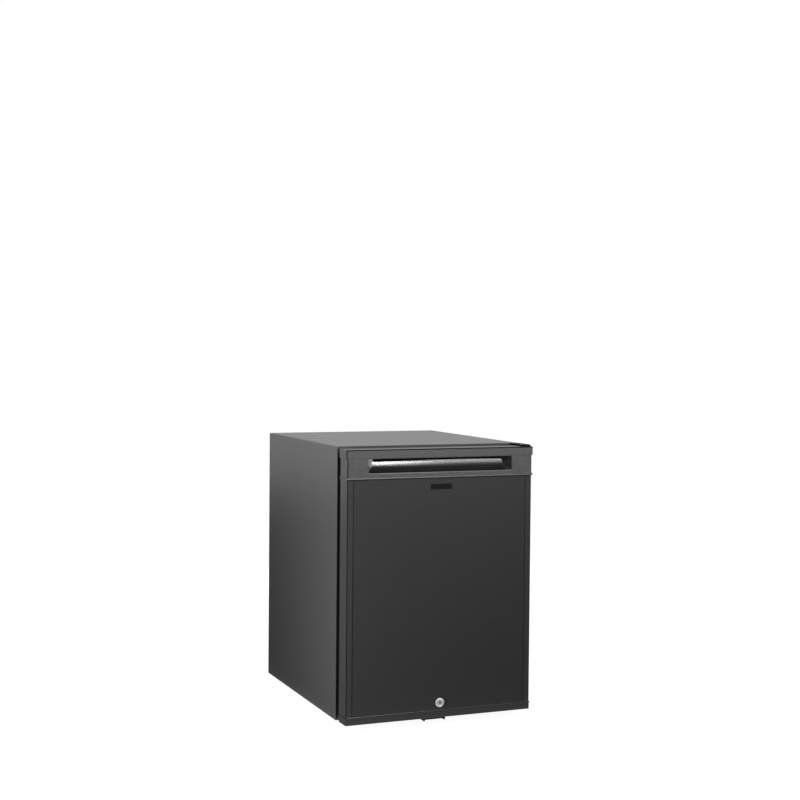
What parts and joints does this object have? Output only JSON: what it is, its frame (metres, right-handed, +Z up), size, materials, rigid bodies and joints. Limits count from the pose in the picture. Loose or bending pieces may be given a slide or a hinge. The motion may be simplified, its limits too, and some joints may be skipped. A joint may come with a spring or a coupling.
{
  "type": "minibar fridge",
  "caption": "Hotel minibar: dark insulated cabinet with a hinged door, finger scoop in its top moulding, cam lock at the foot, wire shelves, door racks, finned absorption unit behind.",
  "frame": {"origin": "on the floor under the middle of the whole object, doors closed", "axes": "+Z up, the door looks along -Y, +X to the right of somebody who stands in front of it"},
  "size_m": [0.4064, 0.5074, 0.56],
  "materials": {
    "cabinet_paint": "satin textured powder coat, dark grey",
    "base_steel": "matt black coat",
    "zinc_sheet": "galvanised sheet",
    "foam": "foamed polyurethane",
    "liner_white": "smooth vacuum-formed sheet",
    "frame_grey": "fine grain",
    "foot_rubber": "matt",
    "bare_aluminium": "as extruded",
    "wire_coat": "plastic-coated wire",
    "white_moulding": "fine grain",
    "clear_lens": "milky lens",
    "knob_grey": "fine grain",
    "rail_paint": "satin dark grey coat on extruded rail",
    "panel_paint": "dark sheet with fine level brushing",
    "door_moulding": "speckled dark grey grain",
    "trim_dark": "fine dark grain",
    "scoop_black": "polished",
    "lock_chrome": "plated",
    "bare_steel": "zinc plated",
    "bracket_black": "black coat",
    "bush_nylon": "moulded nylon",
    "seal_rubber": "soft profile",
    "ferrite": "ferrite block",
    "rack_plastic": "smooth moulding",
    "unit_black": "black coat on steel tube",
    "can_sheet": "galvanised wrap",
    "box_black": "fine grain"
  },
  "bodies": {
    "cabinet": {"cabinet_shell": "cabinet_paint", "cabinet_base": "base_steel", "rear_panel": "zinc_sheet", "insulation_foam": "foam", "inner_liner": "liner_white", "front_frame": "frame_grey", "feet": "foot_rubber", "evaporator": "bare_aluminium", "drip_gutter": "white_moulding", "shelf_lower": "wire_coat", "shelf_upper": "wire_coat", "lamp_housing": "white_moulding", "lamp_lens": "clear_lens", "door_switch": "white_moulding", "thermostat_housing": "white_moulding", "top_hinge_plate": "bracket_black", "bottom_hinge_plate": "bracket_black", "top_hinge_pin": "bare_steel", "bottom_hinge_pin": "bare_steel", "lock_keeper": "bracket_black", "bracket_screws": "bare_steel", "drain_tube": "white_moulding", "drip_cup": "box_black", "boiler_can": "can_sheet", "heater_cartridge": "bare_steel", "rectifier_tube": "unit_black", "condenser_tube": "unit_black", "condenser_fins": "unit_black", "absorber_vessel": "unit_black", "absorber_coil": "unit_black", "feed_tube": "unit_black", "vent_tube": "unit_black", "gas_exchanger": "unit_black", "liquid_exchanger": "unit_black", "unit_bracket_left": "zinc_sheet", "unit_bracket_right": "zinc_sheet", "terminal_box": "box_black", "cord_gland": "box_black"},
    "door": {"left_rail": "rail_paint", "right_rail": "rail_paint", "decor_panel": "panel_paint", "handle_moulding": "door_moulding", "handle_scoop": "scoop_black", "bottom_trim": "trim_dark", "door_foam": "foam", "door_liner": "liner_white", "switch_magnet": "ferrite", "gasket": "seal_rubber", "rack_lower": "rack_plastic", "rack_middle": "rack_plastic", "rack_upper": "rack_plastic", "top_bush": "bush_nylon", "bottom_bush": "bush_nylon", "lock_barrel": "lock_chrome", "lock_nut": "bare_steel"},
    "lock": {"lock_plug": "lock_chrome", "lock_cam": "bare_steel", "cam_nut": "bare_steel"},
    "knob": {"thermostat_knob": "knob_grey"}
  },
  "joints": [
    {"name": "door_hinge", "type": "hinge", "parent": "cabinet", "child": "door", "pos_m": [0.188, -0.22975, 0.28], "axis": [0, 0, 1], "range_deg": [0, 115]},
    {"name": "lock_turn", "type": "hinge", "parent": "door", "child": "lock", "pos_m": [0, -0.23, 0.046], "axis": [0, 1, 0], "range_deg": [0, 90]},
    {"name": "thermostat_turn", "type": "hinge", "parent": "cabinet", "child": "knob", "pos_m": [0.14, -0.06125, 0.453], "axis": [-1, 0, 0], "range_deg": [0, 270]}
  ]
}
